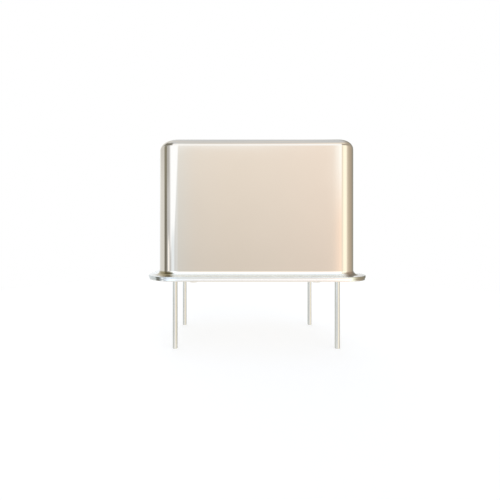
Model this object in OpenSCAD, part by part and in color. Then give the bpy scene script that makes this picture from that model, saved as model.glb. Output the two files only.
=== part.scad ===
// Four-lead crystal oscillator in a tall welded metal can.
// Millimetres. X runs along the long side, the front is -Y, and Z is up.
// The origin is the centre of the lead pattern, on the board that the stand-offs rest on.

$fn = 64;

/* [Leads] */
// Thickness of a lead
lead_d = 0.46; // [0.4:0.01:0.52]
// Distance between leads along the long side
lead_pitch_x = 15.24; // [14.8:0.01:15.4]
// Distance between leads along the short side
lead_pitch_y = 7.62; // [7.2:0.01:7.8]
// Length of a lead below the stand-offs
lead_length = 6.1; // [3:0.1:12]
// Length of a lead above the circuit board
lead_over = 0.6; // [0.5:0.05:1]
// Bevel at both ends of a lead
lead_bevel = 0.04; // [0.02:0.01:0.08]
// Thickness of the plating, which a lead gets after its glass or braze has set round it
plating_t = 0.01; // [0.005:0.005:0.02]
// Width of a glass seal
seal_d = 1.3; // [1.1:0.05:1.4]
// How far the glass lies below the metal at the edge of its hole
seal_dip = 0.06; // [0.02:0.01:0.1]
// How far the glass climbs along the lead past the metal
seal_rise = 0.12; // [0.05:0.01:0.2]
// Width of the ring of glass that climbs the lead
seal_collar = 0.14; // [0.08:0.01:0.18]
// Clearance round the ground lead, which the braze fills
braze_gap = 0.04; // [0.02:0.01:0.08]
// How far the braze spreads over the metal round its hole
braze_spread = 0.2; // [0.1:0.01:0.3]
// How far the braze climbs the ground lead
braze_rise = 0.18; // [0.1:0.01:0.3]

/* [Cover] */
// Distance from the leads' axes to the outside of the end walls
lead_to_end = 1.48; // [1.4:0.01:2]
// Distance from the leads' axes to the outside of the front and back walls
lead_to_front = 1.59; // [1.5:0.01:2]
// Height from the underside of the rim to the top of the can
body_h = 12.7; // [12:0.1:16]
// Thickness of the cover's sheet
sheet_t = 0.2; // [0.12:0.01:0.25]
// Radius of the upright corners, outside
corner_r = 2; // [1.6:0.1:2.5]
// Radius of the bend round the top, outside
top_r = 0.8; // [0.5:0.05:1.4]
// Radius of the hollow bend from the wall into the flange
foot_r = 0.45; // [0.3:0.05:0.7]
// How far the flange stands out past the wall
flange_w = 1; // [0.8:0.05:1.4]

/* [Base] */
// Thickness of the base's rim, under the flange
rim_t = 0.2; // [0.15:0.01:0.4]
// How far the rim stays inside the edge of the flange
rim_inset = 0.05; // [0:0.01:0.15]
// Thickness of the base's platform, from the underside of the rim
platform_t = 1; // [0.8:0.05:1.4]
// Clearance between the platform and the cover's inside wall
platform_gap = 0.1; // [0.05:0.01:0.15]
// Radius of the hollow corner where the platform rises from the rim
step_r = 0.15; // [0.05:0.01:0.2]
// Bevel round the top edge of the platform
platform_bevel = 0.1; // [0.05:0.01:0.15]
// Height of the pressed stand-offs under the base
standoff_h = 0.48; // [0.4:0.02:0.8]
// Width of a stand-off
standoff_d = 1; // [0.9:0.05:1.3]
// Radius of the round lower edge of a stand-off
standoff_edge_r = 0.2; // [0.1:0.01:0.3]
// How far a stand-off stands inward of its lead, along the long side
standoff_in_x = 1.69; // [1.65:0.01:2.6]
// How far a stand-off stands inward of its lead, along the short side
standoff_in_y = 0.86; // [0.8:0.01:1.3]
// Width of the dent that pressing a stand-off leaves on top
dent_d = 0.8; // [0.6:0.05:0.85]
// Depth of that dent
dent_depth = 0.4; // [0.2:0.05:0.5]

/* [Circuit board] */
// Thickness of the circuit board
board_t = 0.8; // [0.6:0.1:1]
// Clearance between the board's edge and the cover's inside wall
board_gap = 0.3; // [0.2:0.01:0.34]
// Air space between the platform and the board
board_lift = 1; // [0.8:0.05:1.4]
// Clearance round a lead in its hole, which the solder fills
hole_gap = 0.1; // [0.08:0.01:0.16]
// How far solder spreads over the board round a hole
solder_spread = 0.24; // [0.15:0.01:0.26]
// How far solder climbs a lead
solder_rise = 0.4; // [0.2:0.01:0.45]

/* [Crystal unit] */
// Distance from the crystal unit's rim to the back edge of the board
crystal_to_edge = 0.9; // [0.5:0.05:1]
// Height of the crystal unit above the board
crystal_h = 8; // [7.5:0.1:8.4]
// Width of the crystal unit's can
crystal_w = 7.2; // [7:0.1:7.6]
// Depth of the crystal unit's can
crystal_d = 2.6; // [2.5:0.05:2.8]
// Thickness of the crystal unit's sheet
crystal_sheet_t = 0.2; // [0.12:0.01:0.22]
// Radius of the bend round the crystal unit's top
crystal_top_r = 0.6; // [0.3:0.05:0.9]
// How far the crystal unit's rim stands out past its wall
crystal_rim_w = 0.3; // [0.2:0.05:0.35]
// Thickness of the crystal unit's base plate
crystal_plate_t = 0.35; // [0.25:0.05:0.45]
// Height of the plug that fits inside the crystal unit's can
crystal_plug_h = 0.45; // [0.3:0.05:0.6]
// Clearance between the plug and the crystal unit's can
crystal_plug_gap = 0.08; // [0.04:0.01:0.1]
// Distance between the crystal unit's leads
crystal_pitch = 3.75; // [3.6:0.05:3.9]
// Thickness of the crystal unit's leads
crystal_lead_d = 0.35; // [0.3:0.01:0.4]
// Length of the crystal unit's leads below the board
crystal_lead_under = 0.5; // [0.42:0.01:0.6]
// Length of the crystal unit's leads inside its can
crystal_lead_in = 0.5; // [0.3:0.05:0.7]
// Width of the crystal unit's glass seals
crystal_seal_d = 1.1; // [0.9:0.05:1.3]
// Width of the quartz blank
blank_d = 5; // [4.8:0.05:5.3]
// Thickness of the quartz blank
blank_t = 0.2; // [0.12:0.01:0.24]
// Air space between the foot of the clips and the quartz blank
blank_lift = 0.5; // [0.4:0.05:0.7]
// Thickness of the spring clips' strip
clip_t = 0.12; // [0.08:0.01:0.16]
// Width of the spring clips' strip
clip_w = 1.4; // [1.1:0.05:1.6]
// How far the blank's edge reaches past the inner face of a clip
clip_grip = 0.3; // [0.24:0.01:0.4]
// Clearance of the blank in a clip's slot
clip_gap = 0.03; // [0.01:0.01:0.05]
// Height of a clip above its slot
clip_over = 0.15; // [0.1:0.01:0.4]
// Width of the round part of an electrode
electrode_d = 2.6; // [2.2:0.05:3]
// Width of an electrode's tab
electrode_tab_w = 0.7; // [0.4:0.05:0.9]
// Thickness of an electrode
electrode_t = 0.02; // [0.01:0.01:0.04]
// Width of a drop of conductive cement
cement_d = 0.9; // [0.75:0.05:1]
// Height of a drop of cement above the blank's face
cement_rise = 0.2; // [0.1:0.01:0.3]

/* [Chip and small parts] */
// Distance from the chip's body to the front edge of the board
chip_to_edge = 1.2; // [0.9:0.05:1.4]
// Length and width of the chip's moulded body
chip_size = 3; // [2.8:0.05:3.1]
// Thickness of the chip's moulded body
chip_t = 0.9; // [0.7:0.05:1.1]
// Space between the chip's body and the board
chip_lift = 0.1; // [0.05:0.01:0.15]
// Number of leads on each side of the chip
chip_pins = 4; // [2:1:4]
// Distance between the chip's leads
chip_pitch = 0.65; // [0.6:0.01:0.7]
// Width of a chip lead
chip_lead_w = 0.28; // [0.2:0.01:0.32]
// Thickness of a chip lead
chip_lead_t = 0.14; // [0.1:0.01:0.18]
// Length of a chip lead's shoulder, out from the body
chip_shoulder = 0.4; // [0.3:0.01:0.5]
// Length of a chip lead's foot on the board
chip_foot = 0.55; // [0.4:0.01:0.6]
// How far the small parts stand inward of the leads, along the long side
small_in_x = 2.42; // [2.3:0.01:2.6]
// How far the load capacitors stand inward of the back leads
load_in_y = 1.51; // [1.2:0.01:1.8]
// How far the supply capacitor and output resistor stand inward of the front leads
front_in_y = 0.71; // [0.5:0.01:1]
// Distance from the output resistor to the feedback resistor
resistor_pitch = 2.3; // [2:0.05:2.6]
// Length of the load capacitors and of the resistors
small_l = 1.6; // [1.4:0.05:1.7]
// Width of the load capacitors and of the resistors
small_w = 0.8; // [0.7:0.05:0.9]
// Height of the load capacitors
load_h = 0.8; // [0.6:0.05:0.9]
// Height of the resistors
resistor_h = 0.45; // [0.35:0.05:0.6]
// Length of the supply capacitor
supply_l = 2; // [1.8:0.05:2.1]
// Width of the supply capacitor
supply_w = 1.25; // [1.1:0.05:1.4]
// Height of the supply capacitor
supply_h = 0.9; // [0.7:0.05:1.2]
// Length of the metal band round each end of a small part
band_l = 0.3; // [0.2:0.01:0.4]
// Thickness of that metal band
band_t = 0.02; // [0.01:0.01:0.04]
// How far solder spreads and climbs at the end of a small part
small_solder = 0.3; // [0.2:0.01:0.32]

/* [Hidden] */
base_z = standoff_h;
flange_z = base_z + rim_t;
foot_z = flange_z + sheet_t;
top_z = base_z + body_h;
platform_z = base_z + platform_t;
board_z = platform_z + board_lift;
board_top_z = board_z + board_t;

lead_x = lead_pitch_x / 2;
lead_y = lead_pitch_y / 2;
centre_x = lead_x + lead_to_end - corner_r;
centre_y = lead_y + lead_to_front - corner_r;
rim_r = corner_r + flange_w - rim_inset;
platform_r = corner_r - sheet_t - platform_gap;
board_r = corner_r - sheet_t - board_gap;
board_y = centre_y + board_r;
standoff_x = lead_x - standoff_in_x;
standoff_y = lead_y - standoff_in_y;

lead_r = lead_d / 2;
bare_r = lead_r - plating_t;
seal_r = seal_d / 2;
braze_r = lead_r + braze_gap;
hole_r = lead_r + hole_gap;

crystal_r = crystal_d / 2;
crystal_x = crystal_w / 2 - crystal_r;
crystal_flange_z = board_top_z + crystal_plate_t;
crystal_plug_z = crystal_flange_z + crystal_plug_h;
crystal_top_z = board_top_z + crystal_h;
crystal_rim_r = crystal_r + crystal_rim_w;
crystal_y = board_y - crystal_to_edge - crystal_rim_r;
crystal_plug_r = crystal_r - crystal_sheet_t - crystal_plug_gap;
crystal_lead_r = crystal_lead_d / 2;
crystal_seal_r = crystal_seal_d / 2;
crystal_hole_r = crystal_lead_r + hole_gap;
crystal_lead_x = crystal_pitch / 2;
crystal_lead_top_z = crystal_plug_z + crystal_lead_in;
blank_r = blank_d / 2;
blank_z = crystal_lead_top_z + clip_t + blank_lift + blank_r;
clip_x = blank_r - clip_grip;
slot_w = blank_t + 2 * clip_gap;
slot_h = 2 * (sqrt(blank_r * blank_r - clip_x * clip_x) + clip_gap);

chip_y = board_y - chip_to_edge - chip_size / 2;
small_x = lead_x - small_in_x;
load_y = lead_y - load_in_y;
front_y = lead_y - front_in_y;
feedback_y = front_y - resistor_pitch;

right = 1;
left = -1;
back = 1;
front = -1;

// A section carried round a rounded rectangle whose corners turn about (x, y).
// The section's x is the distance out from the corner's centre, and its y is the height.
module round_sweep(x, y) {
    for (side = [0 : 3]) {
        long_side = side % 2 == 1;
        across = long_side ? y : x;
        along = long_side ? x : y;
        rotate([0, 0, 90 * side]) translate([across, 0, 0]) {
            translate([0, along, 0]) rotate_extrude(angle = 90) children();
            if (along > 0) rotate([90, 0, 0]) linear_extrude(height = 2 * along, center = true) children();
        }
    }
}

// A solid plate with rounded corners that turn about (x, y).
module round_plate(x, y, r, h) {
    round_sweep(x, y) square([r, h]);
    middle(x, y, h);
}

// The block inside the corner centres, which a swept section leaves open.
module middle(x, y, h) {
    if (x > 0 && y > 0) translate([-x, -y, 0]) cube([2 * x, 2 * y, h]);
}

module quarter_ring(inner, outer) {
    difference() {
        intersection() {
            circle(r = outer);
            square([outer, outer]);
        }
        circle(r = inner);
    }
}

// A round piece with a step of its own at each height: points are [radius, height].
module turned(points) {
    rotate_extrude() polygon(points);
}

module at_lead(x_side, y_side) {
    translate([x_side * lead_x, y_side * lead_y, 0]) children();
}

// ---- Cover and base ----

module cover_section() {
    roof_x = corner_r - top_r;
    bend_x = corner_r + foot_r;
    wall_z = foot_z + foot_r;
    translate([0, top_z - sheet_t]) square([roof_x, sheet_t]);
    translate([roof_x, top_z - top_r]) quarter_ring(top_r - sheet_t, top_r);
    translate([corner_r - sheet_t, wall_z]) square([sheet_t, top_z - top_r - wall_z]);
    translate([bend_x, wall_z]) rotate(180) quarter_ring(foot_r, foot_r + sheet_t);
    translate([bend_x, flange_z]) square([flange_w - foot_r, sheet_t]);
}

module cover() {
    color([0.87, 0.82, 0.75]) {
        round_sweep(centre_x, centre_y) cover_section();
        translate([0, 0, top_z - sheet_t]) middle(centre_x, centre_y, sheet_t);
    }
}

module base_section() {
    difference() {
        union() {
            square([rim_r, rim_t]);
            square([platform_r + step_r, rim_t + step_r]);
            square([platform_r, platform_t]);
        }
        translate([platform_r + step_r, rim_t + step_r]) circle(r = step_r);
        translate([platform_r, platform_t]) rotate(45)
            square(platform_bevel * sqrt(2), center = true);
    }
}

module standoff() {
    flat_r = standoff_d / 2 - standoff_edge_r;
    rotate_extrude() {
        square([flat_r, standoff_h]);
        translate([flat_r, standoff_edge_r]) rotate(-90) intersection() {
            circle(r = standoff_edge_r);
            square(standoff_edge_r);
        }
        translate([flat_r, standoff_edge_r]) square([standoff_edge_r, standoff_h - standoff_edge_r]);
    }
}

module at_standoffs() {
    for (x = [left, right], y = [front, back])
        translate([x * standoff_x, y * standoff_y, 0]) children();
}

module base() {
    seal_holes = [[right, back], [left, front], [right, front]];
    color([0.8, 0.77, 0.7]) difference() {
        union() {
            translate([0, 0, base_z]) {
                round_sweep(centre_x, centre_y) base_section();
                middle(centre_x, centre_y, platform_t);
            }
            at_standoffs() standoff();
        }
        for (at = seal_holes)
            at_lead(at[0], at[1]) cylinder(r = seal_r, h = platform_z + 1);
        at_lead(left, back) cylinder(r = braze_r, h = platform_z + 1);
        at_standoffs() translate([0, 0, platform_z - dent_depth]) cylinder(d = dent_d, h = dent_depth + 1);
    }
}

// ---- Leads and what holds them in the base ----

// The glass or braze reaches past the base by rise, and the lead is bare inside it.
module lead(rise) {
    low = -lead_length;
    high = board_top_z + lead_over;
    tip_r = lead_r - lead_bevel;
    color([0.82, 0.8, 0.72]) turned([
        [0, low], [tip_r, low], [lead_r, low + lead_bevel],
        [lead_r, base_z - rise], [bare_r, base_z - rise],
        [bare_r, platform_z + rise], [lead_r, platform_z + rise],
        [lead_r, high - lead_bevel], [tip_r, high], [0, high]
    ]);
}

module glass_seal(wire_r, outer_r, low, high) {
    collar_r = wire_r + seal_collar;
    color([0.35, 0.42, 0.4]) turned([
        [wire_r, low - seal_rise], [collar_r, low + seal_dip], [outer_r, low + seal_dip],
        [outer_r, high - seal_dip], [collar_r, high - seal_dip], [wire_r, high + seal_rise]
    ]);
}

module lead_seal() {
    glass_seal(bare_r, seal_r, base_z, platform_z);
}

module lead_braze() {
    color([0.78, 0.72, 0.55]) turned([
        [bare_r, base_z - braze_rise], [braze_r + braze_spread, base_z], [braze_r, base_z],
        [braze_r, platform_z], [braze_r + braze_spread, platform_z], [bare_r, platform_z + braze_rise]
    ]);
}

// ---- Circuit board ----

module circuit_board() {
    color([0.1, 0.35, 0.2]) difference() {
        translate([0, 0, board_z]) round_plate(centre_x, centre_y, board_r, board_t);
        for (x = [left, right], y = [front, back])
            at_lead(x, y) cylinder(r = hole_r, h = board_top_z + 1);
        for (x = [left, right])
            translate([x * crystal_lead_x, crystal_y, 0]) cylinder(r = crystal_hole_r, h = board_top_z + 1);
    }
}

module lead_solder() {
    color([0.75, 0.75, 0.76]) for (x = [left, right], y = [front, back])
        at_lead(x, y) turned([
            [lead_r, board_z - solder_rise], [hole_r + solder_spread, board_z], [hole_r, board_z],
            [hole_r, board_top_z], [hole_r + solder_spread, board_top_z], [lead_r, board_top_z + solder_rise]
        ]);
}

// ---- Crystal unit ----

module at_crystal() {
    translate([0, crystal_y, 0]) children();
}

module crystal_can_section() {
    roof_x = crystal_r - crystal_top_r;
    translate([0, crystal_top_z - crystal_sheet_t]) square([roof_x, crystal_sheet_t]);
    translate([roof_x, crystal_top_z - crystal_top_r])
        quarter_ring(crystal_top_r - crystal_sheet_t, crystal_top_r);
    translate([crystal_r - crystal_sheet_t, crystal_flange_z])
        square([crystal_sheet_t, crystal_h - crystal_plate_t - crystal_top_r]);
    translate([crystal_r - crystal_sheet_t, crystal_flange_z])
        square([crystal_rim_w + crystal_sheet_t, crystal_sheet_t]);
}

module crystal_can() {
    color([0.78, 0.78, 0.76]) at_crystal() round_sweep(crystal_x, 0) crystal_can_section();
}

module crystal_base() {
    color([0.7, 0.68, 0.62]) at_crystal() difference() {
        union() {
            translate([0, 0, board_top_z]) round_plate(crystal_x, 0, crystal_rim_r, crystal_plate_t);
            translate([0, 0, crystal_flange_z]) round_plate(crystal_x, 0, crystal_plug_r, crystal_plug_h);
        }
        for (x = [left, right])
            translate([x * crystal_lead_x, 0, 0]) cylinder(r = crystal_seal_r, h = crystal_plug_z + 1);
    }
}

// The glass stays level with the plate underneath, where the unit sits on the board.
module crystal_seal(side) {
    collar_r = crystal_lead_r + seal_collar;
    color([0.35, 0.42, 0.4]) at_crystal() translate([side * crystal_lead_x, 0, 0]) turned([
        [crystal_lead_r, board_top_z + seal_dip], [crystal_seal_r, board_top_z + seal_dip],
        [crystal_seal_r, crystal_plug_z - seal_dip], [collar_r, crystal_plug_z - seal_dip],
        [crystal_lead_r, crystal_plug_z + seal_rise]
    ]);
}

module crystal_lead(side) {
    low = board_z - crystal_lead_under;
    color([0.82, 0.8, 0.72]) at_crystal() translate([side * crystal_lead_x, 0, low])
        cylinder(r = crystal_lead_r, h = crystal_lead_top_z - low);
}

module crystal_solder() {
    color([0.75, 0.75, 0.76]) at_crystal() for (x = [left, right])
        translate([x * crystal_lead_x, 0, 0]) turned([
            [crystal_lead_r, board_z - solder_rise], [crystal_hole_r + solder_spread, board_z],
            [crystal_hole_r, board_z], [crystal_hole_r, board_top_z], [crystal_lead_r, board_top_z]
        ]);
}

// A bent strip: its foot is welded on top of a lead, and its slot holds the blank's edge.
module clip(side) {
    foot_x = crystal_lead_x - crystal_lead_r;
    upright_h = blank_z + slot_h / 2 + clip_over - crystal_lead_top_z;
    color([0.72, 0.7, 0.64]) at_crystal() mirror([side == left ? 1 : 0, 0, 0]) difference() {
        translate([0, -clip_w / 2, crystal_lead_top_z]) {
            translate([foot_x, 0, 0]) cube([clip_x + clip_t - foot_x, clip_w, clip_t]);
            translate([clip_x, 0, 0]) cube([clip_t, clip_w, upright_h]);
        }
        translate([clip_x - clip_t, -slot_w / 2, blank_z - slot_h / 2])
            cube([3 * clip_t, slot_w, slot_h]);
    }
}

module blank_disc() {
    translate([0, blank_t / 2, blank_z]) rotate([90, 0, 0]) cylinder(r = blank_r, h = blank_t);
}

module quartz_blank() {
    color([0.85, 0.9, 0.92, 0.6]) at_crystal() blank_disc();
}

// A round film with a tab to the blank's edge, ending where the clip's inner face stands.
module electrode(y_side, tab_side) {
    inner_y = y_side == back ? blank_t / 2 : -blank_t / 2 - electrode_t;
    translate([0, inner_y + electrode_t, blank_z]) rotate([90, 0, 0]) linear_extrude(height = electrode_t) {
        circle(d = electrode_d);
        translate([tab_side == right ? 0 : -clip_x, -electrode_tab_w / 2])
            square([clip_x, electrode_tab_w]);
    }
}

module electrode_front() {
    color([0.85, 0.7, 0.35]) at_crystal() electrode(front, right);
}

module electrode_back() {
    color([0.85, 0.7, 0.35]) at_crystal() electrode(back, left);
}

// A half drop on each face of the blank, flat against the clip's inner face.
module cement(side) {
    drop_h = blank_t + 2 * cement_rise;
    color([0.6, 0.58, 0.52]) at_crystal() difference() {
        translate([side * clip_x, 0, blank_z]) rotate([90, 0, 0])
            cylinder(d = cement_d, h = drop_h, center = true);
        translate([side * (clip_x + cement_d / 2), 0, blank_z])
            cube([cement_d, 2 * drop_h, 2 * cement_d], center = true);
        blank_disc();
        electrode(front, right);
        electrode(back, left);
    }
}

// ---- Chip and small parts ----

module oscillator_chip() {
    color([0.12, 0.12, 0.13]) translate([-chip_size / 2, -chip_y - chip_size / 2, board_top_z + chip_lift])
        cube([chip_size, chip_size, chip_t]);
}

// One bent lead in section: out of the body at mid height, down, and out along the board.
module chip_lead_section() {
    shoulder_z = chip_lift + chip_t / 2;
    bend_x = chip_shoulder - chip_lead_t;
    polygon([
        [0, shoulder_z], [bend_x, shoulder_z], [bend_x, 0], [bend_x + chip_foot, 0],
        [bend_x + chip_foot, chip_lead_t], [chip_shoulder, chip_lead_t],
        [chip_shoulder, shoulder_z + chip_lead_t], [0, shoulder_z + chip_lead_t]
    ]);
}

module chip_rows() {
    for (turn = [0, 180], pin = [0 : chip_pins - 1])
        translate([0, -chip_y, board_top_z]) rotate([0, 0, turn])
            translate([chip_size / 2, (pin - (chip_pins - 1) / 2) * chip_pitch, 0]) children();
}

module chip_leads() {
    color([0.78, 0.78, 0.77]) chip_rows() rotate([90, 0, 0])
        linear_extrude(height = chip_lead_w, center = true) chip_lead_section();
}

// A chip part of length l, width w and height h, with a metal band round each end.
module small_part(l, w, h) {
    core_w = w - 2 * band_t;
    translate([-l / 2 + band_t, -core_w / 2, band_t]) cube([l - 2 * band_t, core_w, h - 2 * band_t]);
    for (x = [-l / 2, l / 2 - band_l]) translate([x, -w / 2, 0]) cube([band_l, w, h]);
}

module end_solder(l, w) {
    for (turn = [0, 180]) rotate([0, 0, turn]) translate([l / 2, w / 2, 0]) rotate([90, 0, 0])
        linear_extrude(height = w) polygon([[0, 0], [small_solder, 0], [0, small_solder]]);
}

module at_load(side) {
    translate([side * small_x, load_y, board_top_z]) rotate([0, 0, 90]) children();
}

module at_supply() {
    translate([small_x, -front_y, board_top_z]) children();
}

module at_output() {
    translate([-small_x, -front_y, board_top_z]) children();
}

module at_feedback() {
    translate([-small_x, -feedback_y, board_top_z]) children();
}

module load_capacitor(side) {
    color([0.72, 0.6, 0.45]) at_load(side) small_part(small_l, small_w, load_h);
}

module supply_capacitor() {
    color([0.68, 0.55, 0.4]) at_supply() small_part(supply_l, supply_w, supply_h);
}

module feedback_resistor() {
    color([0.15, 0.15, 0.16]) at_feedback() small_part(small_l, small_w, resistor_h);
}

module output_resistor() {
    color([0.15, 0.15, 0.16]) at_output() small_part(small_l, small_w, resistor_h);
}

module small_part_solder() {
    toe_x = chip_shoulder - chip_lead_t + chip_foot;
    color([0.75, 0.75, 0.76]) {
        for (side = [left, right]) at_load(side) end_solder(small_l, small_w);
        at_supply() end_solder(supply_l, supply_w);
        at_feedback() end_solder(small_l, small_w);
        at_output() end_solder(small_l, small_w);
        chip_rows() translate([toe_x, chip_lead_w / 2, 0]) rotate([90, 0, 0])
            linear_extrude(height = chip_lead_w) polygon([[0, 0], [chip_lead_t, 0], [0, chip_lead_t]]);
    }
}

cover();
base();
at_lead(right, back) lead(seal_rise);  // lead_1_control
at_lead(left, back) lead(braze_rise);  // lead_7_ground
at_lead(left, front) lead(seal_rise);  // lead_8_output
at_lead(right, front) lead(seal_rise);  // lead_14_supply
at_lead(right, back) lead_seal();  // seal_1
at_lead(left, back) lead_braze();  // seal_7_braze
at_lead(left, front) lead_seal();  // seal_8
at_lead(right, front) lead_seal();  // seal_14
circuit_board();
lead_solder();
crystal_can();
crystal_base();
crystal_seal(left);  // crystal_seal_left
crystal_seal(right);  // crystal_seal_right
crystal_lead(left);  // crystal_lead_left
crystal_lead(right);  // crystal_lead_right
crystal_solder();
clip(left);  // clip_left
clip(right);  // clip_right
quartz_blank();
electrode_front();
electrode_back();
cement(left);  // cement_left
cement(right);  // cement_right
oscillator_chip();
chip_leads();
load_capacitor(left);  // load_capacitor_left
load_capacitor(right);  // load_capacitor_right
supply_capacitor();
feedback_resistor();
output_resistor();
small_part_solder();
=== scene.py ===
"""The looks of a four-lead crystal oscillator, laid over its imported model.

Lengths are written in millimetres and turned into metres where each mesh is finished. Only the
tent, the floor and the camera are written in metres.
X runs along the long side, the front is -Y, and Z is up from the board that the stand-offs rest on.
"""

import math

import bmesh
import bpy
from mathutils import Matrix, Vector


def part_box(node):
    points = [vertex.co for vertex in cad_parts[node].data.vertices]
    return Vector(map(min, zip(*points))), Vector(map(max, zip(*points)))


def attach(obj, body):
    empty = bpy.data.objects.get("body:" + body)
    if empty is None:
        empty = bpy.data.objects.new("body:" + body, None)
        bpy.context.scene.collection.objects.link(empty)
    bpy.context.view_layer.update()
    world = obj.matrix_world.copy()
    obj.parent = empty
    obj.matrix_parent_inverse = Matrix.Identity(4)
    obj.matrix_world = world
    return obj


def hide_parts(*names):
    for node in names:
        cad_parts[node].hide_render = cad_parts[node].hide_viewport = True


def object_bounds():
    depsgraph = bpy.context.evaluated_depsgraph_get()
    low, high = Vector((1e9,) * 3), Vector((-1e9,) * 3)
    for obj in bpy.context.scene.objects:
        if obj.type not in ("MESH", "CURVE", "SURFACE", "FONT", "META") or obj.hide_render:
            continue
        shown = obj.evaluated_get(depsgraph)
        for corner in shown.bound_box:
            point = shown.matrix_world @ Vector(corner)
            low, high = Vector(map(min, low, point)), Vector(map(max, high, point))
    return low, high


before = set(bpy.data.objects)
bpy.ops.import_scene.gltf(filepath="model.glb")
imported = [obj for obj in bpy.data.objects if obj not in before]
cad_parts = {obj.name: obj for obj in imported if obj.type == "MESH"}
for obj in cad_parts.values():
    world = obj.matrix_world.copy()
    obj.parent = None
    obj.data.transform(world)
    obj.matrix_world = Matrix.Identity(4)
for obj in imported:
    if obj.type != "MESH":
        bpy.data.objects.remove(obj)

cad_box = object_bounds()


# ---- Base ----
# The base is stamped from cold-rolled steel and plated with nickel. Its rim is the seat for the
# cover's flange, its platform fits inside the can, and four pressed stand-offs keep it clear of
# the circuit board that it is soldered into.

def corners_mm(node):
    """A CAD node's lowest and highest corners, in millimetres."""
    return [corner * 1000 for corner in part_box(node)]


def middle_mm(node):
    """The middle of a CAD node's box, in millimetres."""
    low, high = corners_mm(node)
    return (low + high) / 2


def arc(out, up, radius, start, end, steps=8):
    """Points of a section along an arc round (out, up), from start to end in degrees."""
    angles = [math.radians(start + (end - start) * step / steps) for step in range(steps + 1)]
    return [(out + radius * math.cos(a), up + radius * math.sin(a)) for a in angles]


sides = [(1, 1), (-1, 1), (-1, -1), (1, -1)]      # the four quarters, as they follow each other round


def on_side(side, place):
    """A place in the first quarter, mirrored into the quarter that side names."""
    return (side[0] * place[0], side[1] * place[1])


def sweep(mesh, section, turn_at=(0, 0), centre=(0, 0), closed=False, steps=24, finish=0):
    """Carries a section of (out, up) points round a rounded rectangle and returns its rings.

    The rectangle's corners turn about turn_at, and at (0, 0) the result is a round piece.
    """
    rings = []
    for out, up in section:
        ring = []
        for corner, side in enumerate(sides):
            turn_x, turn_y = on_side(side, turn_at)
            for step in range(steps + (turn_at != (0, 0))):
                angle = math.radians(90 * (corner + step / steps))
                x = centre[0] + turn_x + out * math.cos(angle)
                y = centre[1] + turn_y + out * math.sin(angle)
                ring.append(mesh.verts.new((x, y, up)))
        rings.append(ring)
    pairs = list(zip(rings, rings[1:])) + ([(rings[-1], rings[0])] if closed else [])
    for lower, upper in pairs:
        for i, vert in enumerate(lower):
            following = (i + 1) % len(lower)
            face = mesh.faces.new((vert, lower[following], upper[following], upper[i]))
            face.material_index = finish
    return rings


def fill(mesh, outline, *openings, finish=0):
    """Closes a flat face inside an outline and outside its openings."""
    edges = []
    for loop in (outline, *openings):
        for a, b in zip(loop, loop[1:] + loop[:1]):
            edges.append(mesh.edges.get((a, b)) or mesh.edges.new((a, b)))
    made = bmesh.ops.triangle_fill(mesh, use_beauty=True, use_dissolve=False, edges=edges)
    for face in made["geom"]:
        if isinstance(face, bmesh.types.BMFace):
            face.material_index = finish


def make_object(name, mesh, *finishes):
    """Turns a finished mesh into an object with these materials."""
    data = bpy.data.meshes.new(name)
    mesh.to_mesh(data)
    mesh.free()
    for finish in finishes:
        data.materials.append(finish)
    made = bpy.data.objects.new(name, data)
    bpy.context.scene.collection.objects.link(made)
    return made


same_point = 0.0001                # points nearer to each other than this are one
crease = math.radians(35)          # an edge that turns more than this is shaded sharp


def make_piece(name, mesh, slot, nodes, *finishes):
    """Makes the object from a mesh in millimetres and lays it over its CAD nodes."""
    bmesh.ops.remove_doubles(mesh, verts=mesh.verts, dist=same_point)
    bmesh.ops.recalc_face_normals(mesh, faces=mesh.faces)
    bmesh.ops.scale(mesh, vec=(0.001, 0.001, 0.001), verts=mesh.verts)
    for face in mesh.faces:
        face.smooth = True
    for edge in mesh.edges:
        edge.smooth = edge.calc_face_angle(0) < crease
    piece = make_object(name, mesh, *finishes)
    level = piece.modifiers.new("flat_stays_flat", "WEIGHTED_NORMAL")
    level.keep_sharp = True
    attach(piece, "root")
    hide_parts(*nodes)


def add(tree, kind, inputs=None, **settings):
    """Adds a shader node, with its settings and with values or other nodes' outputs as inputs."""
    node = tree.nodes.new("ShaderNode" + kind)
    for setting, value in settings.items():
        setattr(node, setting, value)
    for socket, value in (inputs or {}).items():
        if isinstance(value, bpy.types.NodeSocket):
            tree.links.new(value, node.inputs[socket])
        else:
            node.inputs[socket].default_value = value
    return node


def calculate(tree, operation, *values, kind="Math"):
    """One step of arithmetic on values or on other nodes' outputs."""
    return add(tree, kind, dict(enumerate(values)), operation=operation).outputs[0]


def scaled(tree, vector, amount):
    """A vector or a colour, made larger or smaller by an amount."""
    return add(tree, "VectorMath", {0: vector, "Scale": amount}, operation="SCALE").outputs[0]


def fade(tree, value, start, end, low=0, high=1, smooth=False):
    """Goes from low, where the value is at start, to high, where it is at end, and no further."""
    inputs = {"Value": value, "From Min": start, "From Max": end, "To Min": low, "To Max": high}
    steps = "SMOOTHSTEP" if smooth else "LINEAR"
    return add(tree, "MapRange", inputs, interpolation_type=steps).outputs[0]


def noise(tree, place, scale, detail):
    """Cloudy noise from 0 to 1."""
    return add(tree, "TexNoise", {"Vector": place, "Scale": scale, "Detail": detail}).outputs["Fac"]


def place_mm(tree):
    """Each point's place in the part, in millimetres."""
    return scaled(tree, add(tree, "TexCoord").outputs["Object"], 1000)


def height_mm(tree):
    """Each point's height over the customer's circuit board, in millimetres."""
    return add(tree, "SeparateXYZ", {0: place_mm(tree)}).outputs["Z"]


def mix_colours(tree, amount, first, second):
    """Mixes two colours, given as values or as other nodes' outputs."""
    first, second = [(*c, 1) if isinstance(c, tuple) else c for c in (first, second)]
    return add(tree, "Mix", {0: amount, 6: first, 7: second}, data_type="RGBA").outputs[2]


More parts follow.
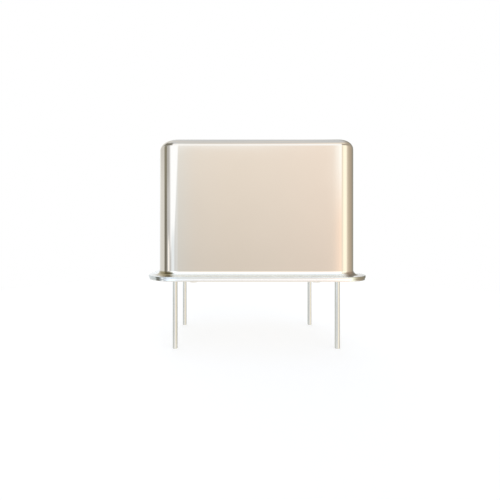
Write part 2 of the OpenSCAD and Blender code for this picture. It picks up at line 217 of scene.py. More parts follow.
def start_effect(name, inputs):
    """Starts a shader node group. Inputs are names with default values."""
    group = bpy.data.node_groups.new(name, "ShaderNodeTree")
    for socket, value in inputs.items():
        kind = "NodeSocketColor" if isinstance(value, tuple) else "NodeSocketFloat"
        group.interface.new_socket(socket, in_out="INPUT", socket_type=kind).default_value = value
    return group, group.nodes.new("NodeGroupInput").outputs


def finish_effect(group, outputs):
    """Gives a shader node group its outputs, which are names with the results that they put out."""
    for socket in outputs:
        kind = "NodeSocketColor" if socket == "Colour" else "NodeSocketFloat"
        group.interface.new_socket(socket, in_out="OUTPUT", socket_type=kind)
    result = group.nodes.new("NodeGroupOutput")
    for socket, value in outputs.items():
        group.links.new(value, result.inputs[socket])
    return group


def start_material(name, **sockets):
    """Starts a material whose surface is a Principled shader with these plain values."""
    material = bpy.data.materials.new(name)
    material.use_nodes = True
    surface = material.node_tree.nodes["Principled BSDF"]
    for socket, value in sockets.items():
        surface.inputs[socket.replace("_", " ").title().replace("Ior", "IOR")].default_value = value
    return material, material.node_tree, surface


def texture(tree, surface, height, relief, strength=1):
    """Bumps a surface by a height from 0 to 1, where relief is what 1 stands for, in millimetres."""
    bump = add(tree, "Bump", {"Height": height, "Distance": relief * 0.001, "Strength": strength})
    tree.links.new(bump.outputs["Normal"], surface.inputs["Normal"])


def make_plating():
    """Plated sheet metal: cloudy plating, fine grain, and faint rolling or drawing lines."""
    group, given = start_effect("plating", {
        "Colour": (0.7, 0.63, 0.53, 1), "Roughness": 0.1, "Clouding": 0.03,
        "Grain": 0.5, "Lines": 0.3, "Line height": 0.04,
    })
    mm = place_mm(group)
    clouds = noise(group, mm, scale=0.35, detail=3)
    grain = noise(group, mm, scale=9, detail=5)
    along = add(group, "CombineXYZ", {0: 6, 1: 6, 2: given["Line height"]}).outputs[0]
    stretched = calculate(group, "MULTIPLY", mm, along, kind="VectorMath")
    lines = noise(group, stretched, scale=1.5, detail=4)

    lift = calculate(group, "SUBTRACT", clouds, 0.5)
    shade = calculate(group, "MULTIPLY_ADD", lift, given["Clouding"], 1)
    cloud_rough = calculate(group, "MULTIPLY_ADD", clouds, 0.5, 0.5)
    line_rough = calculate(group, "MULTIPLY_ADD", lines, 0.5, cloud_rough)
    grain_height = calculate(group, "MULTIPLY", grain, given["Grain"])
    return finish_effect(group, {
        "Colour": scaled(group, given["Colour"], shade),
        "Roughness": calculate(group, "MULTIPLY", given["Roughness"], line_rough),
        "Height": calculate(group, "MULTIPLY_ADD", lines, given["Lines"], grain_height),
    })


plating = make_plating()


def plated(name, colour, roughness, relief=0.0008, **amounts):
    """A metal material with the plating effect. Relief is the height of its grain in millimetres."""
    material, tree, surface = start_material(name, metallic=1)
    values = {"Colour": (*colour, 1), "Roughness": roughness}
    values |= {amount.replace("_", " ").capitalize(): value for amount, value in amounts.items()}
    effect = add(tree, "Group", values, node_tree=plating).outputs
    tree.links.new(effect["Colour"], surface.inputs["Base Color"])
    tree.links.new(effect["Roughness"], surface.inputs["Roughness"])
    texture(tree, surface, effect["Height"], relief)
    return material


def mix_in_finish_and_painted_light(material, amount, colour, roughness):
    """Mixes another colour and roughness into a material, as far as amount says at each point: a real finish,
    or painted highlight and painted shade.
    """
    tree = material.node_tree
    surface = tree.nodes["Principled BSDF"]
    old_colour = surface.inputs["Base Color"].links[0].from_socket
    old_roughness = surface.inputs["Roughness"].links[0].from_socket
    tree.links.new(mix_colours(tree, amount, old_colour, colour), surface.inputs["Base Color"])
    new_roughness = add(tree, "Mix", {0: amount, 2: old_roughness, 3: roughness}).outputs[0]
    tree.links.new(new_roughness, surface.inputs["Roughness"])


def make_painted_corner_shade():
    """Where painted shade lies: at the upright corners, as if they reflected dark surroundings.

    Turn X and Turn Y are the centre that a corner turns about. Mask is the painted shade, Out is each
    point's distance from that centre, and End goes from 0 at the left end to 1 at the right.
    """
    group, given = start_effect("painted_corner_shade", {"Turn X": 0.0, "Turn Y": 0.0})
    mm = place_mm(group)
    quarter = calculate(group, "ABSOLUTE", mm, kind="VectorMath")
    turn = add(group, "CombineXYZ", {0: given["Turn X"], 1: given["Turn Y"]}).outputs[0]
    from_turn = calculate(group, "SUBTRACT", quarter, turn, kind="VectorMath")
    from_turn = calculate(group, "MULTIPLY", from_turn, (1, 1, 0), kind="VectorMath")
    heading = calculate(group, "NORMALIZE", from_turn, kind="VectorMath")
    heading = calculate(group, "MAXIMUM", heading, (0, 0, 0), kind="VectorMath")
    heading = add(group, "SeparateXYZ", {0: heading}).outputs
    middle = calculate(group, "MULTIPLY", heading["X"], heading["Y"])
    middle = calculate(group, "MULTIPLY_ADD", noise(group, mm, scale=1.5, detail=3), 0.15, middle)
    sideways = add(group, "SeparateXYZ", {0: mm}).outputs["X"]
    return finish_effect(group, {
        "Mask": fade(group, middle, 0.17, 0.46, smooth=True),
        "Out": add(group, "VectorMath", {0: from_turn}, operation="LENGTH").outputs["Value"],
        "End": fade(group, sideways, -7, 7),
    })


painted_corner_shade = make_painted_corner_shade()

base_high = corners_mm("base")[1]
underside = 0.48           # height of the rim's underside over the customer's circuit board
rim_top = corners_mm("cover")[0].z
rim_radius = 2.95          # at the corners
rim_edge = 0.05            # rounding of its lower edge
joint_edge = 0.015         # the weld closed the joint up to the edge
platform_top = base_high.z
platform_radius = 1.7      # at the corners
platform_foot = 0.15       # fillet from the rim up to the platform
platform_edge = 0.1
turn_at = (base_high.x - rim_radius, base_high.y - rim_radius)
stand_off_at = (5.93, 2.95)
stand_off_radius = 0.5
stand_off_nose = 0.2       # rounding of its lower end
press_bend = 0.12          # from the rim down into a stand-off
dent_radius = 0.4          # the dent that pressing left above each stand-off
dent_depth = 0.4
dent_edge = 0.06
dent_floor = 0.1           # rounding at its bottom
lead_at = middle_mm("lead_1_control")
seal_radius = 0.65
braze_radius = 0.27
ground_side = (-1, 1)

# A painted highlight lightens the nickel towards near white from the rim's lower edge up to the joint.
# Painted shade darkens the rim near the joint at the corners, greyer at the left end, browner at the right.
base_nickel = plated("base_nickel", (0.68, 0.62, 0.53), 0.15, clouding=0.1, grain=0.6, lines=0.5,
                     line_height=6)
tree = base_nickel.node_tree
height = height_mm(tree)
painted_edge_highlight = fade(tree, height, underside + 0.01, rim_top - 0.05)
mix_in_finish_and_painted_light(base_nickel, painted_edge_highlight, (0.98, 0.98, 0.95), 0.12)
# Painted shade at the rim's corners, as if they reflected dark surroundings.
corner_shading = add(tree, "Group", {"Turn X": turn_at[0], "Turn Y": turn_at[1]}, node_tree=painted_corner_shade).outputs
near_joint = fade(tree, height, rim_top - 0.16, rim_top - 0.08)
on_rim = fade(tree, corner_shading["Out"], rim_radius - 0.35, rim_radius - 0.1)
near_joint = calculate(tree, "MULTIPLY", near_joint, on_rim)
rim_shade = calculate(tree, "MULTIPLY", corner_shading["Mask"], near_joint)
rim_shade_colour = mix_colours(tree, corner_shading["End"], (0.55, 0.56, 0.52), (0.42, 0.4, 0.33))
mix_in_finish_and_painted_light(base_nickel, rim_shade, rim_shade_colour, 0.14)

mesh = bmesh.new()
rim = sweep(mesh, [
    *arc(rim_radius - rim_edge, underside + rim_edge, rim_edge, -90, 0, 4),
    *arc(rim_radius - joint_edge, rim_top - joint_edge, joint_edge, 0, 90, 2),
    *arc(platform_radius + platform_foot, rim_top + platform_foot, platform_foot, -90, -180, 6),
    (platform_radius, platform_top - platform_edge),
    (platform_radius - platform_edge, platform_top),
], turn_at)
bottom_openings, top_openings = [], []
for side in sides:
    stand_off = sweep(mesh, [
        *arc(stand_off_radius + press_bend, underside - press_bend, press_bend, 90, 180, 6),
        *arc(stand_off_radius - stand_off_nose, stand_off_nose, stand_off_nose, 0, -90, 8),
    ], centre=on_side(side, stand_off_at), steps=8)
    dent = sweep(mesh, [
        *arc(dent_radius + dent_edge, platform_top - dent_edge, dent_edge, 90, 180, 4),
        *arc(dent_radius - dent_floor, platform_top - dent_depth + dent_floor, dent_floor, 0, -90, 4),
    ], centre=on_side(side, stand_off_at), steps=8)
    fill(mesh, stand_off[-1])
    fill(mesh, dent[-1])
    radius = braze_radius if side == ground_side else seal_radius
    hole = sweep(mesh, [(radius, underside), (radius, platform_top)], centre=on_side(side, lead_at), steps=8)
    bottom_openings += [stand_off[0], hole[0]]
    top_openings += [dent[0], hole[1]]
fill(mesh, rim[0], *bottom_openings)
fill(mesh, rim[-1], *top_openings)
make_piece("base_plate", mesh, "base", ["base"], base_nickel)


# ---- Glass seals ----
# A bead of dark green-grey sealing glass is fused round each of three leads, so that they pass
# through the base without touching it. The glass wets both metals and stands in a hollow curve.

def meniscus(inner, outer, foot, tip, hollow=2.6, steps=8):
    """The hollow curve of a liquid that climbed a wire, from the wire out to where it lies flat."""
    across = [step / steps for step in range(steps + 1)]
    return [(inner + (outer - inner) * part, foot + (tip - foot) * (1 - part) ** hollow) for part in across]


seal_glass, tree, surface = start_material(
    "seal_glass", roughness=0.06, ior=1.5, transmission_weight=0.25, coat_weight=0.4, coat_roughness=0.03)
place = add(tree, "TexCoord").outputs["Object"]
bubbles = add(tree, "TexVoronoi", {"Vector": place, "Scale": 14000}).outputs["Distance"]
swirl = noise(tree, place, scale=2200, detail=3)
body_colour = mix_colours(tree, swirl, (0.06, 0.1, 0.09), (0.14, 0.2, 0.17))
lit_bubbles = mix_colours(tree, fade(tree, bubbles, 0.05, 0.25), (0.34, 0.42, 0.38), body_colour)
tree.links.new(lit_bubbles, surface.inputs["Base Color"])
texture(tree, surface, swirl, relief=0.006, strength=0.5)

bare_lead = 0.22           # radius of the wire without its plating
glass_hollow = 0.06        # how far the glass lies below the metal at the edge of its hole
glass_climb = 0.12         # how far it climbs the wire past the base
for number, side in zip((1, 8, 14), (sides[0], sides[2], sides[3])):
    mesh = bmesh.new()
    lower = meniscus(bare_lead, seal_radius, underside + glass_hollow, underside - glass_climb)
    upper = meniscus(bare_lead, seal_radius, platform_top - glass_hollow, platform_top + glass_climb)
    sweep(mesh, lower + upper[::-1], centre=on_side(side, lead_at), closed=True, steps=8)
    make_piece(f"glass_bead_{number}", mesh, "glass_seal", [f"seal_{number}"], seal_glass)


# ---- Ground lead's braze ----
# The fourth lead is joined straight to the base with silver and copper braze, which earths the
# case. The braze ran into the thin gap and left a small fillet on both faces of the base.

braze_metal = plated("braze_metal", (0.74, 0.6, 0.38), 0.28, relief=0.003, clouding=0.3, grain=1.0, lines=0.0)

braze_spread = 0.2         # how far it ran over each face of the base
braze_climb = 0.18         # how far it climbed the wire
mesh = bmesh.new()
lower = meniscus(bare_lead, braze_radius + braze_spread, underside, underside - braze_climb)
upper = meniscus(bare_lead, braze_radius + braze_spread, platform_top, platform_top + braze_climb)
inner = [(braze_radius, underside), (braze_radius, platform_top)]
sweep(mesh, lower + inner + upper[::-1], centre=on_side(ground_side, lead_at), closed=True, steps=8)
make_piece("ground_braze", mesh, "braze", ["seal_7_braze"], braze_metal)


# ---- Leads ----
# Each lead is a straight length of nickel-iron wire, cut off square and lightly tumbled. It is
# sealed or brazed first and plated with the base afterwards, so it is bare inside the glass.

lead_metal = plated("lead_metal", (0.71, 0.69, 0.62), 0.16, clouding=0.08, grain=0.4, lines=0.6,
                    line_height=0.03)

lead_radius = 0.23
tumbled = 0.05             # rounding of its ends
for name, side in zip(("1_control", "7_ground", "8_output", "14_supply"), sides):
    low, high = corners_mm(f"lead_{name}")
    held = braze_climb if side == ground_side else glass_climb
    mesh = bmesh.new()
    wire = sweep(mesh, [
        *arc(lead_radius - tumbled, low.z + tumbled, tumbled, -90, 0, 4),
        (lead_radius, underside - held),
        (bare_lead, underside - held),
        (bare_lead, platform_top + held),
        (lead_radius, platform_top + held),
        *arc(lead_radius - tumbled, high.z - tumbled, tumbled, 0, 90, 4),
    ], centre=on_side(side, lead_at), steps=7)
    fill(mesh, wire[0])
    fill(mesh, wire[-1])
    make_piece(f"wire_{name}", mesh, "lead", [f"lead_{name}"], lead_metal)


# ---- Circuit board ----
# A small board of glass-cloth laminate is pushed over the leads' inner ends. Copper tracks show
# as low ridges under its green coating, and each joint has a tinned pad.

board_coat, tree, surface = start_material("board_coat", roughness=0.32, coat_weight=0.5, coat_roughness=0.15)
place = add(tree, "TexCoord").outputs["Object"]
thread = {"Vector": place, "Scale": 800, "Distortion": 0.6}
threads = [add(tree, "TexWave", thread, bands_direction=way).outputs["Fac"] for way in ("X", "Y")]
weave = calculate(tree, "MAXIMUM", *threads)
coat_colour = mix_colours(tree, weave, (0.006, 0.075, 0.03), (0.01, 0.115, 0.045))
tree.links.new(coat_colour, surface.inputs["Base Color"])
texture(tree, surface, weave, relief=0.008, strength=0.6)

board_edge, tree, surface = start_material("board_edge", roughness=0.7)
place = add(tree, "TexCoord").outputs["Object"]
layers = {"Vector": place, "Scale": 2500, "Distortion": 1.5, "Detail": 3}
plies = add(tree, "TexWave", layers, bands_direction="Z").outputs["Fac"]
edge_colour = mix_colours(tree, plies, (0.32, 0.29, 0.12), (0.5, 0.46, 0.24))
tree.links.new(edge_colour, surface.inputs["Base Color"])
texture(tree, surface, plies, relief=0.01, strength=0.7)

tin = plated("tin", (0.72, 0.72, 0.71), 0.25, relief=0.002, clouding=0.15, grain=1.0, lines=0.0)

board_low, board_high = corners_mm("circuit_board")
board_radius = 1.5
board_turn = (board_high.x - board_radius, board_high.y - board_radius)
cut_edge = 0.03            # rounding of the edges where it was cut out
lead_hole_radius = 0.33
wire_hole_radius = 0.275
track_width = 0.25
track_rise = 0.03
pad_rise = 0.02
sunk = 0.01                # tracks and pads start this far below the board's face
ring_width = 0.26          # of the tin round a hole
ring_drop = 0.01           # how far the lower rings stand out of the board
wire_at = middle_mm("crystal_lead_right")
chip_at = middle_mm("oscillator_chip")
pin_pitch = 0.65
pin_rows = [chip_at.y + (pin - 1.5) * pin_pitch for pin in range(4)]
pin_pad_x, pin_pad_length, pin_pad_width = 2.1, 0.8, 0.36
load_at = middle_mm("load_capacitor_right")
front_y = middle_mm("output_resistor").y
feedback_y = middle_mm("feedback_resistor").y
small_half = 0.8           # half the length of a small part
pad_length = 0.75
small_parts = {            # the axis that each part lies along, and the width of its pads
    "load_capacitor_left": (1, 1.0), "load_capacitor_right": (1, 1.0), "supply_capacitor": (0, 1.4),
    "feedback_resistor": (0, 1.0), "output_resistor": (0, 1.0),
}


def raise_flat(mesh, outline, rise, finish):
    """A thin flat prism on the board's face, with this outline of (x, y) points."""
    heights = (board_high.z - sunk, board_high.z + rise)
    lower, upper = [[mesh.verts.new((x, y, up)) for x, y in outline] for up in heights]
    for i, vert in enumerate(lower):
        following = (i + 1) % len(outline)
        face = mesh.faces.new((vert, lower[following], upper[following], upper[i]))
        face.material_index = finish
    fill(mesh, lower, finish=finish)
    fill(mesh, upper, finish=finish)


def track(mesh, start, end):
    """A copper track with round ends, seen through the coating."""
    heading = math.degrees(math.atan2(end[1] - start[1], end[0] - start[0]))
    outline = arc(end[0], end[1], track_width / 2, heading - 90, heading + 90, 6)
    outline += arc(start[0], start[1], track_width / 2, heading + 90, heading + 270, 6)
    raise_flat(mesh, outline, track_rise, 0)


def pad(mesh, x, y, length, width):
    """A tinned pad for the end of a small part or a pin."""
    outline = [(x + side[0] * length / 2, y + side[1] * width / 2) for side in sides]
    raise_flat(mesh, outline, pad_rise, 2)


mesh = bmesh.new()
walls = sweep(mesh, [
    *arc(board_radius - cut_edge, board_low.z + cut_edge, cut_edge, -90, 0, 2),
    *arc(board_radius - cut_edge, board_high.z - cut_edge, cut_edge, 0, 90, 2),
], board_turn, steps=10, finish=1)
holes = [(on_side(side, lead_at), lead_hole_radius) for side in sides]
holes += [((way * wire_at.x, wire_at.y), wire_hole_radius) for way in (-1, 1)]
board_middle = (board_low.z + board_high.z) / 2
barrels = []
for centre, radius in holes:
    barrel = [(radius, board_low.z), (radius, board_high.z)]
    barrels.append(sweep(mesh, barrel, centre=centre, steps=6, finish=2))
    ring_radius = radius + ring_width
    for face_up in (board_low.z - ring_drop, board_high.z + pad_rise):
        ring = [(radius, face_up), (ring_radius, face_up), (ring_radius, board_middle)]
        sweep(mesh, ring, centre=centre, steps=6, finish=2)
fill(mesh, walls[0], *[barrel[0] for barrel in barrels])
fill(mesh, walls[-1], *[barrel[1] for barrel in barrels])

track_x = 2.3              # tracks end under the feet of the chip's leads
outer_pin, inner_pin = 1.0, 0.33      # how far from the chip's middle line they reach the pads
beside_load = 1.4          # how far outside the load capacitor's middle the feedback track ends
load_end = (load_at.x, load_at.y - small_half)
for way in (-1, 1):
    for start, end in [
        (wire_at, load_end),
        (load_end, (track_x, chip_at.y + outer_pin)),
        ((lead_at.x, -lead_at.y), (load_at.x + small_half, front_y)),
        ((load_at.x - small_half, front_y), (track_x, chip_at.y - outer_pin)),
        (lead_at, (load_at.x, load_at.y + small_half + 0.1)),
    ]:
        track(mesh, (way * start[0], start[1]), (way * end[0], end[1]))
track(mesh, (-load_at.x + small_half, feedback_y), (-track_x, chip_at.y + inner_pin))
track(mesh, (-load_at.x - small_half, feedback_y), (-load_at.x - beside_load, load_at.y))
for node, (axis, pad_width) in small_parts.items():
    for end in corners_mm(node):
        spot, size = middle_mm(node), [pad_width, pad_width]
        spot[axis], size[axis] = end[axis], pad_length
        pad(mesh, spot.x, spot.y, *size)
for way in (-1, 1):
    for row in pin_rows:
        pad(mesh, way * pin_pad_x, row, pin_pad_length, pin_pad_width)
make_piece("board", mesh, "circuit_board", ["circuit_board"], board_coat, board_edge, tin)


# ---- Oscillator chip ----
# The oscillating and output circuit is moulded in black resin, with sloped sides, a seam where
# the two mould halves met, and a dimple that marks where its leads are counted from.

def make_speckle():
    """Fine specks of a lighter and a darker shade, as in filled resin or fired clay."""
    group, given = start_effect("speckle", {
        "Dark": (0.02, 0.02, 0.02, 1), "Light": (0.05, 0.05, 0.05, 1), "Scale": 20.0,
    })
    specks = noise(group, place_mm(group), given["Scale"], detail=6)
    sharper = fade(group, specks, 0.35, 0.65)
    return finish_effect(group, {
        "Colour": mix_colours(group, sharper, given["Dark"], given["Light"]),
        "Height": specks,
    })


speckle = make_speckle()


def speckled(name, dark, light, scale, roughness, relief):
    """A dull or fired material with the speckle effect. Relief is in millimetres."""
    material, tree, surface = start_material(name, roughness=roughness)
    values = {"Dark": (*dark, 1), "Light": (*light, 1), "Scale": scale}
    effect = add(tree, "Group", values, node_tree=speckle).outputs
    tree.links.new(effect["Colour"], surface.inputs["Base Color"])
    texture(tree, surface, effect["Height"], relief)
    return material


chip_resin = speckled("chip_resin", (0.012, 0.012, 0.013), (0.03, 0.03, 0.032), 18, 0.5, 0.01)

chip_low, chip_high = corners_mm("oscillator_chip")
chip_half, seam = chip_high.x, chip_at.z
slope = 0.12               # how far the seam stands outside the turns of the corners
ridge = 0.02               # half the height of the moulding's ridge along the seam
ridge_foot = slope - 0.01
chip_edge = 0.03
mesh = bmesh.new()
body = sweep(mesh, [
    (0.0, chip_low.z), (chip_edge, chip_low.z), (2 * chip_edge, chip_low.z + chip_edge),
    (ridge_foot, seam - ridge), (slope, seam - ridge), (slope, seam + ridge), (ridge_foot, seam + ridge),
    (2 * chip_edge, chip_high.z - chip_edge), (chip_edge, chip_high.z),
], (chip_half - slope, chip_half - slope), centre=(0, chip_at.y), steps=3)
dimple_at = chip_half - 0.6          # from the chip's middle, both ways
dimple = sweep(mesh, [(0.25, chip_high.z), (0.22, chip_high.z - 0.03), (0.12, chip_high.z - 0.07)],
               centre=(dimple_at, chip_at.y + dimple_at), steps=6)
fill(mesh, body[0])
fill(mesh, dimple[-1])
fill(mesh, body[-1], dimple[0])
make_piece("chip_body", mesh, "chip_body", ["oscillator_chip"], chip_resin)


# ---- Chip leads ----
# Eight leads are stamped from copper alloy sheet with the chip's frame, tinned, and bent down
# and out like a gull's wings, so that each foot lies flat on its pad.

frame_tin = plated("frame_tin", (0.68, 0.67, 0.65), 0.2, clouding=0.1, grain=0.6, lines=0.6, line_height=0.5)


def bent_strip(mesh, path, thickness, width, place):
    """A flat strip bent along a path of (out, up) points, which place turns into x, y and z."""
    rows = []
    for i, (out, up) in enumerate(path):
        before, after = path[max(i - 1, 0)], path[min(i + 1, len(path) - 1)]
        heading = math.atan2(after[1] - before[1], after[0] - before[0])
        across = (-math.sin(heading) * thickness / 2, math.cos(heading) * thickness / 2)
        rows.append([mesh.verts.new(place(out + side * across[0], along * width / 2, up + side * across[1]))
                     for side, along in ((-1, -1), (1, -1), (1, 1), (-1, 1))])
    for row, following in zip(rows, rows[1:]):
        for i in range(4):
            mesh.faces.new((row[i], row[(i + 1) % 4], following[(i + 1) % 4], following[i]))
    mesh.faces.new(rows[0])
    mesh.faces.new(rows[-1])


pin_sheet, pin_width = 0.14, 0.28
pin_end = corners_mm("chip_leads")[1].x
pin_bend = 0.11            # to the middle of the sheet
pin_drop = 0.33            # how far out of the chip a lead goes straight down
foot, shoulder = board_high.z + pin_sheet / 2, seam + pin_sheet / 2
pin_path = [
    (-0.05, shoulder),
    *arc(pin_drop - pin_bend, shoulder - pin_bend, pin_bend, 90, 0, 4),
    *arc(pin_drop + pin_bend, foot + pin_bend, pin_bend, 180, 270, 4),
    (pin_end - chip_half, foot),
]
mesh = bmesh.new()
for way in (-1, 1):
    for row in pin_rows:
        bent_strip(mesh, pin_path, pin_sheet, pin_width,
                   lambda out, side, up: (way * (chip_half + out), row + side, up))
make_piece("chip_frame", mesh, "chip_lead", ["chip_leads"], frame_tin)


# ---- Capacitors ----
# Each capacitor is a fired block of tan ceramic with metal layers inside, and a dipped and
# plated metal cap over each end. Two load the crystal, and the larger one steadies the supply.

tan_ceramic = speckled("tan_ceramic", (0.36, 0.25, 0.15), (0.5, 0.37, 0.24), 12, 0.42, 0.006)
cap_tin = plated("cap_tin", (0.7, 0.69, 0.67), 0.32, relief=0.004, clouding=0.15, grain=1.0, lines=0.0)

cap_band = 0.3             # how far a plated end reaches along the part
cap_edge = 0.04
cap_rise = 0.02            # how far it stands out of the ceramic
block_edge = 0.05


def soft_box(mesh, low, high, radius, finish):
    """A block with rounded edges between two corners."""
    made = bmesh.ops.create_cube(mesh, size=1)["verts"]
    for vert in made:
        vert.co = [low[i] + (high[i] - low[i]) * (vert.co[i] + 0.5) for i in range(3)]
    edges = list({edge for vert in made for edge in vert.link_edges})
    rounded = bmesh.ops.bevel(mesh, geom=edges, offset=radius, segments=3, profile=0.5, affect="EDGES")
    for face in {face for vert in rounded["verts"] for face in vert.link_faces}:
        face.material_index = finish


def end_caps(mesh, low, high, axis):
    """The two plated ends of a small part that fills this box."""
    near_high, far_low = list(high), list(low)
    near_high[axis] = low[axis] + cap_band
    far_low[axis] = high[axis] - cap_band
    soft_box(mesh, low, near_high, cap_edge, 1)
    soft_box(mesh, far_low, high, cap_edge, 1)


for node in ("load_capacitor_left", "load_capacitor_right", "supply_capacitor"):
    low, high = corners_mm(node)
    mesh = bmesh.new()
    soft_box(mesh, [v + cap_rise for v in low], [v - cap_rise for v in high], block_edge, 0)
    end_caps(mesh, low, high, small_parts[node][0])
    make_piece(node.replace("capacitor", "block"), mesh, "capacitor", [node], tan_ceramic, cap_tin)


# ---- Resistors ----
# Each resistor is a chip of white alumina with a printed film on top under black glaze, and
# plated ends. One feeds the crystal's signal back, and one is in line with the output.

alumina = speckled("alumina", (0.66, 0.65, 0.62), (0.78, 0.77, 0.74), 16, 0.45, 0.004)
black_glaze = speckled("black_glaze", (0.01, 0.01, 0.012), (0.025, 0.025, 0.03), 8, 0.18, 0.003)

glaze_rise = 0.06          # how far the glaze stands over the alumina
glaze_in_x, glaze_in_y = 0.28, 0.03
alumina_edge = 0.03
for node in ("feedback_resistor", "output_resistor"):
    low, high = corners_mm(node)
    mesh = bmesh.new()
    alumina_high = (high.x - cap_rise, high.y - cap_rise, high.z - glaze_rise)
    soft_box(mesh, [v + cap_rise for v in low], alumina_high, alumina_edge, 0)
    glaze_low = (low.x + glaze_in_x, low.y + glaze_in_y, high.z - glaze_rise - alumina_edge)
    soft_box(mesh, glaze_low, (high.x - glaze_in_x, high.y - glaze_in_y, high.z), alumina_edge, 2)
    end_caps(mesh, low, (high.x, high.y, high.z - cap_rise), small_parts[node][0])
    name = node.replace("resistor", "resistor_chip")
    make_piece(name, mesh, "resistor", [node], alumina, cap_tin, black_glaze)


# ---- Solder on the board ----
# Bright solder joins every part to its pad. It was melted once, so it climbs each metal end in
# a smooth hollow curve, and the surface froze with a faint grain.

bright_solder = plated("bright_solder", (0.76, 0.76, 0.77), 0.14, relief=0.003, clouding=0.12, grain=0.8,
                       lines=0.0)


def end_fillet(mesh, size, width, place, hollow=2.4):
    """The hollow wedge of solder between the end of a part and its pad."""
    curve = [(size * t, size * (1 - t) ** hollow) for t in (0, 0.12, 0.26, 0.42, 0.6, 0.8, 1)]
    section = [(0, 0), *curve[::-1]]
    rows = [[mesh.verts.new(place(out, side * width / 2, up)) for out, up in section] for side in (-1, 1)]
    for i, vert in enumerate(rows[0]):
        following = (i + 1) % len(section)
        mesh.faces.new((vert, rows[0][following], rows[1][following], rows[1][i]))
    for row in rows:
        mesh.faces.new(row)


small_fillet = 0.3         # how far solder spreads and climbs at the end of a small part
top = board_high.z
mesh = bmesh.new()
for node, (axis, _) in small_parts.items():
    low, high = corners_mm(node)
    middle, width = middle_mm(node), (high - low)[1 - axis]
    for end, way in ((low, -1), (high, 1)):
        if axis == 0:
            end_fillet(mesh, small_fillet, width,
                       lambda out, side, up: (end.x + way * out, middle.y + way * side, top + up))
        else:
            end_fillet(mesh, small_fillet, width,
                       lambda out, side, up: (middle.x - way * side, end.y + way * out, top + up))
for way in (-1, 1):
    for row in pin_rows:
        end_fillet(mesh, pin_sheet, pin_width,
                   lambda out, side, up: (way * (pin_end + out), row + way * side, top + up))
make_piece("part_solder", mesh, "solder", ["small_part_solder"], bright_solder)

wire_radius = 0.175
spread, climb = 0.24, 0.4  # over the board round a hole, and along the wire
mesh = bmesh.new()
for side in sides:
    lower = meniscus(lead_radius, lead_hole_radius + spread, board_low.z, board_low.z - climb)
    upper = meniscus(lead_radius, lead_hole_radius + spread, board_high.z, board_high.z + climb)
    barrel = [(lead_hole_radius, board_low.z), (lead_hole_radius, board_high.z)]
    sweep(mesh, lower + barrel + upper[::-1], centre=on_side(side, lead_at), closed=True, steps=6)
make_piece("lead_joints", mesh, "solder", ["lead_solder"], bright_solder)

mesh = bmesh.new()
lower = meniscus(wire_radius, wire_hole_radius + spread, board_low.z, board_low.z - climb)
barrel = [(wire_hole_radius, board_low.z), (wire_hole_radius, board_high.z), (wire_radius, board_high.z)]
for way in (-1, 1):
    sweep(mesh, lower + barrel, centre=(way * wire_at.x, wire_at.y), closed=True, steps=6)
make_piece("crystal_joints", mesh, "solder", ["crystal_solder"], bright_solder)


# ---- Crystal unit's base, glass and leads ----
# The crystal has a small sealed case of its own. Its base is a nickel-silver plate with a plug
# that fits the can, and two wires pass through it in glass beads.

def refinish(finish, *nodes):
    """Gives CAD nodes that keep their own shape a better material."""
    for node in nodes:
        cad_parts[node].data.materials[0] = finish


nickel_silver = plated("nickel_silver", (0.62, 0.59, 0.52), 0.2, clouding=0.12, grain=0.6, lines=0.4,
                       line_height=6)
refinish(nickel_silver, "crystal_base")
refinish(seal_glass, "crystal_seal_left", "crystal_seal_right")
refinish(lead_metal, "crystal_lead_left", "crystal_lead_right")


# ---- Spring clips ----
# Two strips of hard nickel silver are welded on the wires. Each one is slit to take the blank's
# edge, and gives a little, so that a knock doesn't break the quartz.

spring_strip = plated("spring_strip", (0.6, 0.57, 0.5), 0.24, clouding=0.1, grain=0.5, lines=0.9,
                      line_height=0.1)
refinish(spring_strip, "clip_left", "clip_right")


# ---- Quartz blank, electrodes and cement ----
# The blank is a lapped and etched disc of clear quartz. Each face carries a film of gold with a
# tab to the edge, and a drop of silver-filled resin holds it in each clip and makes contact.

lapped_quartz, tree, surface = start_material(
    "lapped_quartz", base_color=(0.86, 0.92, 0.95, 1), ior=1.544, transmission_weight=0.9)
pits = noise(tree, add(tree, "TexCoord").outputs["Object"], scale=16000, detail=5)
tree.links.new(fade(tree, pits, 0, 1, 0.12, 0.4), surface.inputs["Roughness"])
texture(tree, surface, pits, relief=0.003, strength=0.6)

gold_film = plated("gold_film", (0.83, 0.6, 0.25), 0.22, relief=0.001, clouding=0.08, grain=0.8, lines=0.0)
silver_cement = speckled("silver_cement", (0.34, 0.33, 0.31), (0.6, 0.59, 0.56), 14, 0.38, 0.02)
refinish(lapped_quartz, "quartz_blank")
refinish(gold_film, "electrode_front", "electrode_back")
refinish(silver_cement, "cement_left", "cement_right")


# ---- Crystal unit's can ----
# The can is drawn from thin nickel-silver sheet in one piece, with a flange that is welded to
# the plate. It is as long as the blank needs, and round at both ends.

can_silver = plated("can_silver", (0.66, 0.63, 0.56), 0.13, clouding=0.08, grain=0.5, lines=0.5,
                    line_height=0.04)

